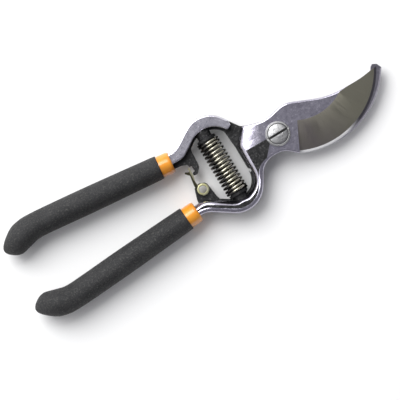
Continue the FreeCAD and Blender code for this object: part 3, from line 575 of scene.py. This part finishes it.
def make_pivot():
    for node, name, edge in (
        ("pivot_bolt", "pivot_bolt_turned", 0.08),
        ("pivot_nut", "pivot_nut_milled", 0.12),
        ("pivot_washer", "pivot_washer_toothed", 0.08),
    ):
        piece = joined_copy(node, name, edge * MM)
        piece.data.materials.append(BOLT)
        place_on(piece, "blade_side", "bolt_steel", node)


# ---------------------------------------------------------------- return spring

COIL_RADIUS = 5.3 * MM
WIRE_RADIUS = 0.625 * MM
COIL_TURNS = 15.5
SPRING_LOW = -14.8 * MM
SPRING_HIGH = 15.6 * MM
CLOSED_TURNS = 1.25
STEPS_PER_TURN = 40


def coil_height(turn):
    """Height of the wire's middle at a turn: closed coils at both ends, an even pitch between them."""
    tight = 2.1 * WIRE_RADIUS
    low = SPRING_LOW + 0.55 * WIRE_RADIUS
    high = SPRING_HIGH - 0.55 * WIRE_RADIUS
    open_turns = COIL_TURNS - 2 * CLOSED_TURNS
    pitch = (high - low - 2 * CLOSED_TURNS * tight) / open_turns
    if turn < CLOSED_TURNS:
        return low + tight * turn
    if turn > COIL_TURNS - CLOSED_TURNS:
        return high - tight * (COIL_TURNS - turn)
    return low + tight * CLOSED_TURNS + pitch * (turn - CLOSED_TURNS)


def make_return_spring():
    """A round wire screwed up an axis, its end coils closed and ground flat."""
    bpy.ops.object.select_all(action="DESELECT")
    bpy.ops.mesh.primitive_circle_add(vertices=14, radius=WIRE_RADIUS, location=(COIL_RADIUS, 0, 0),
                                      rotation=(math.pi / 2, 0, 0))
    piece = bpy.context.object
    piece.name = piece.data.name = "return_spring_wire"
    settle(piece)
    even = 3 * WIRE_RADIUS
    steps = round(COIL_TURNS * STEPS_PER_TURN)
    apply_modifier(piece, "SCREW", axis="Z", angle=math.radians(360 * COIL_TURNS),
                   screw_offset=even * COIL_TURNS, steps=steps, render_steps=steps, use_merge_vertices=False)
    for point in piece.data.vertices:
        angle = math.atan2(point.co.y, point.co.x) / (2 * math.pi)
        turn = angle + round(point.co.z / even - angle)
        point.co.z += coil_height(turn) - even * turn
    open_mesh(piece)
    bpy.ops.mesh.select_all(action="SELECT")
    bpy.ops.mesh.normals_make_consistent(inside=False)
    for level, outward in ((SPRING_LOW, -1), (SPRING_HIGH, 1)):
        bpy.ops.mesh.select_all(action="SELECT")
        bpy.ops.mesh.bisect(plane_co=(0, 0, level), plane_no=(0, 0, outward), use_fill=True, clear_outer=True)
    close_mesh()
    piece.matrix_world = Matrix.Translation((SPRING_X, 0, MID)) @ Matrix.Rotation(math.radians(-90), 4, "X")
    settle(piece)
    open_mesh(piece)
    bpy.ops.mesh.select_all(action="DESELECT")
    bpy.ops.mesh.select_non_manifold()
    bpy.ops.mesh.edge_face_add()
    close_mesh()
    smooth(piece, 50)
    piece.data.materials.append(WIRE)
    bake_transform(piece)
    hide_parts("return_spring")


# ---------------------------------------------------------------- catch


def make_catch():
    for node, name, body, edge in (
        ("catch_plate", "catch_pressed_plate", "catch", 0.12),
        ("catch_washer", "catch_spacer_ring", "blade_side", 0.04),
        ("catch_eyelet", "catch_rolled_eyelet", "blade_side", 0.08),
    ):
        piece = joined_copy(node, name, edge * MM)
        piece.data.materials.append(PLATING)
        place_on(piece, body, "plated_steel", node)


# ---------------------------------------------------------------- sleeves and grips


def handle_place(side):
    x, y, angle, _ = HANDLES[side]
    return Matrix.Translation((x * MM, y * MM, MID)) @ Matrix.Rotation(math.radians(angle), 4, "Z")


def tube(name, rings, around, shape):
    """A tube of rings across X, capped at both ends.

    It is drawn with one unit between rings. Then each point goes where shape(ring, angle) says, in
    millimetres.
    """
    bpy.ops.object.select_all(action="DESELECT")
    bpy.ops.mesh.primitive_circle_add(vertices=around, radius=1, rotation=(0, math.pi / 2, 0))
    piece = bpy.context.object
    piece.name = piece.data.name = name
    settle(piece)
    open_mesh(piece)
    bpy.ops.mesh.select_all(action="SELECT")
    bpy.ops.mesh.edge_face_add()
    bpy.ops.mesh.select_all(action="SELECT")
    for _ in range(rings - 1):
        bpy.ops.mesh.extrude_region_move(TRANSFORM_OT_translate={"value": (1, 0, 0)})
    close_mesh()
    for point in piece.data.vertices:
        point.co = Vector(shape(round(point.co.x), math.atan2(point.co.z, point.co.y))) * MM
    open_mesh(piece)
    bpy.ops.mesh.select_all(action="SELECT")
    bpy.ops.mesh.normals_make_consistent(inside=False)
    close_mesh()
    return piece


def eased(points, at):
    """Smooth values between the rows of a table whose first column is the place."""
    for k in range(len(points) - 1):
        if points[k][0] <= at <= points[k + 1][0]:
            break
    before, after = points[max(k - 1, 0)], points[min(k + 2, len(points) - 1)]
    here, there = points[k], points[k + 1]
    run = there[0] - here[0]
    t = (at - here[0]) / run
    values = []
    for column in range(1, len(here)):
        slope_here = (there[column] - before[column]) / (there[0] - before[0]) * run
        slope_there = (after[column] - here[column]) / (after[0] - here[0]) * run
        values.append(
            here[column] * (2 * t ** 3 - 3 * t ** 2 + 1) + slope_here * (t ** 3 - 2 * t ** 2 + t)
            + there[column] * (3 * t ** 2 - 2 * t ** 3) + slope_there * (t ** 3 - t ** 2))
    return values


# behind the sleeve's mouth: place, turn inwards, half width, half height
GRIP_SKIN = [
    (6.6, 0.0, 5.8, 8.10),
    (6.75, 0.0, 6.05, 8.42),
    (7.3, 0.0, 6.18, 8.62),
    (12.0, 0.0, 6.3, 8.80),
    (25.0, 0.0, 6.5, 8.95),
    (47.0, 0.0, 6.75, 9.00),
    (68.0, 0.0, 6.7, 9.00),
    (77.0, 0.25, 6.75, 9.00),
    (82.5, 1.4, 7.35, 8.90),
    (88.0, 3.2, 7.35, 8.20),
    (91.0, 4.1, 6.0, 6.70),
    (93.5, 4.65, 4.2, 4.70),
    (95.2, 5.0, 2.5, 2.80),
    (96.1, 5.15, 1.0, 1.10),
    (96.25, 5.2, 0.15, 0.15),
]


def make_grip(side):
    """Foam grip: a long oval with a turned-in end, hollow where the sleeve goes in."""
    turn = HANDLES[side][3]
    places = [6.6, 6.75, 7.0, 7.3, 8.5]
    places += [10 + 2 * k for k in range(33)]
    places += [75.5 + 1.25 * k for k in range(11)]
    places += [89.9, 90.8, 91.7, 92.6, 93.5, 94.3, 95.0, 95.6, 96.0, 96.2, 96.25]
    rows = [(82.1, 0, 5.6, 7.7), (44, 0, 5.6, 7.7), (7.0, 0, 5.6, 7.7)]
    rows += [(at, *eased(GRIP_SKIN, at)) for at in places]

    def shape(ring, angle):
        at, shift, wide, high = rows[ring]
        return -at, turn * shift + wide * math.cos(angle), high * math.sin(angle)

    piece = tube(side + "_grip_foam", len(rows), 56, shape)
    piece.data.transform(handle_place(side))
    smooth(piece, 60)
    piece.data.materials.append(FOAM)
    place_on(piece, {"upper": "hook_side", "lower": "blade_side"}[side], "black_grip", side + "_grip")


def make_sleeve(side):
    """Dipped sleeve: an oval tube with a rolled mouth that closes on the tang."""
    half = {"upper": 4.0, "lower": 2.9}[side] + 0.02
    thick = 4.52
    # behind the mouth, size of the oval, share of the tang's rectangle
    rows = [(76.0, 1, 1), (40.0, 1, 1), (2.2, 1, 1), (1.2, 1, 0.97), (0.75, 1, 0.8), (0.55, 0.93, 0.55)]
    rows += [(0.30, 0.86, 0.25), (0.08, 0.80, 0.0), (0.0, 0.86, 0), (0.12, 0.915, 0), (0.45, 0.96, 0)]
    rows += [(0.95, 0.987, 0), (1.6, 1, 0), (6.5, 1, 0), (40.0, 1, 0), (80.5, 1, 0), (81.6, 0.96, 0)]
    rows += [(82.0, 0.88, 0)]

    def shape(ring, angle):
        behind, size, square = rows[ring]
        c, s = math.cos(angle), math.sin(angle)
        oval = Vector((5.6 * size * c, 7.7 * size * s))
        reach = 1 / max(abs(c) / half, abs(s) / thick)
        return (-behind, *oval.lerp(Vector((reach * c, reach * s)), square))

    piece = tube(side + "_sleeve_dipped", len(rows), 64, shape)
    piece.data.transform(handle_place(side))
    smooth(piece, 60)
    piece.data.materials.append(VINYL)
    place_on(piece, {"upper": "hook_side", "lower": "blade_side"}[side], "orange_sleeve", side + "_sleeve")


# ---------------------------------------------------------------- studio

VIEW_CENTRE = Vector((-50.9, -8.4, 13.5)) * MM
VIEW_TURN = -31.0
VIEW_WIDTH = 202 * MM
VIEW_HEIGHT = 0.75


def make_camera():
    """Straight above the tool, with the tool lying at an angle across the picture."""
    camera = bpy.data.objects.new("camera", bpy.data.cameras.new("camera"))
    bpy.context.scene.collection.objects.link(camera)
    camera.data.sensor_width = 36
    camera.data.lens = 36 * VIEW_HEIGHT / VIEW_WIDTH
    camera.data.clip_start, camera.data.clip_end = 0.01, 10
    camera.location = VIEW_CENTRE + Vector((0, 0, VIEW_HEIGHT))
    camera.rotation_euler = (0, 0, math.radians(VIEW_TURN))
    bpy.context.scene.camera = camera


def seen(right, up):
    """The direction on the table that runs right and up in the camera's view."""
    return Matrix.Rotation(math.radians(VIEW_TURN), 3, "Z") @ Vector((right, up, 0))


def lamp(name, direction, height, distance, size, power):
    """A square soft light that looks at the tool."""
    light = bpy.data.objects.new(name, bpy.data.lights.new(name, "AREA"))
    bpy.context.scene.collection.objects.link(light)
    light.data.shape = "SQUARE"
    light.data.size = size
    light.data.energy = power
    towards = (direction.normalized() * math.cos(math.radians(height))
               + Vector((0, 0, math.sin(math.radians(height)))))
    light.location = VIEW_CENTRE + towards * distance
    light.rotation_mode = "QUATERNION"
    light.rotation_quaternion = towards.to_track_quat("Z", "Y")


# brightness of the surround at each height of its dome, on its bright side and on the other
BRIGHT_SIDE = [(0.0, 0.8), (0.5, 1.15), (0.88, 1.1), (0.93, 0.7), (0.965, 0.34), (1.0, 0.26)]
DIM_SIDE = [(0.0, 0.12), (0.2, 0.2), (0.5, 0.26), (0.72, 0.26), (0.9, 0.24), (1.0, 0.26)]


def make_studio():
    bpy.ops.object.select_all(action="DESELECT")
    bpy.ops.mesh.primitive_plane_add(size=6, location=(0, 0, 0))
    floor = bpy.context.object
    floor.name = floor.data.name = "floor"
    board, shader = new_finish("pale_board", (0.86, 0.86, 0.86), 0.0, 0.9)
    shader.inputs["Specular IOR Level"].default_value = 0.1
    floor.data.materials.append(board)
    lamp("key_light", seen(-0.7, 0.75), 50, 0.9, 0.7, 9.2)
    world = bpy.data.worlds.new("studio")
    bpy.context.scene.world = world
    world.use_nodes = True
    nodes, links = world.node_tree.nodes, world.node_tree.links
    place = nodes.new("ShaderNodeTexCoord").outputs["Generated"]
    parts = nodes.new("ShaderNodeSeparateXYZ")
    links.new(place, parts.inputs["Vector"])
    side = nodes.new("ShaderNodeVectorMath")
    side.operation = "DOT_PRODUCT"
    side.inputs[1].default_value = seen(0.87, -0.5)
    links.new(place, side.inputs[0])
    share = nodes.new("ShaderNodeMapRange")
    share.inputs["From Min"].default_value = -0.12
    share.inputs["From Max"].default_value = 0.12
    links.new(side.outputs["Value"], share.inputs["Value"])
    skies = nodes.new("ShaderNodeMix")
    skies.data_type = "RGBA"
    links.new(share.outputs["Result"], skies.inputs[0])
    for socket, heights in ((6, BRIGHT_SIDE), (7, DIM_SIDE)):
        ramp = nodes.new("ShaderNodeValToRGB")
        stops = ramp.color_ramp.elements
        while len(stops) < len(heights):
            stops.new(0.5)
        for stop, (height, level) in zip(stops, heights):
            stop.position = height
            stop.color = (level, level, level * (1.08 if level < 0.5 else 1.0), 1)
        links.new(parts.outputs["Z"], ramp.inputs["Fac"])
        links.new(ramp.outputs["Color"], skies.inputs[socket])
    links.new(skies.outputs[2], nodes["Background"].inputs["Color"])
    bpy.context.scene.view_settings.view_transform = "Standard"


make_blade_lever()
make_hook_lever()
make_pivot()
make_return_spring()
make_catch()
for side in ("upper", "lower"):
    make_sleeve(side)
    make_grip(side)
make_camera()
make_studio()
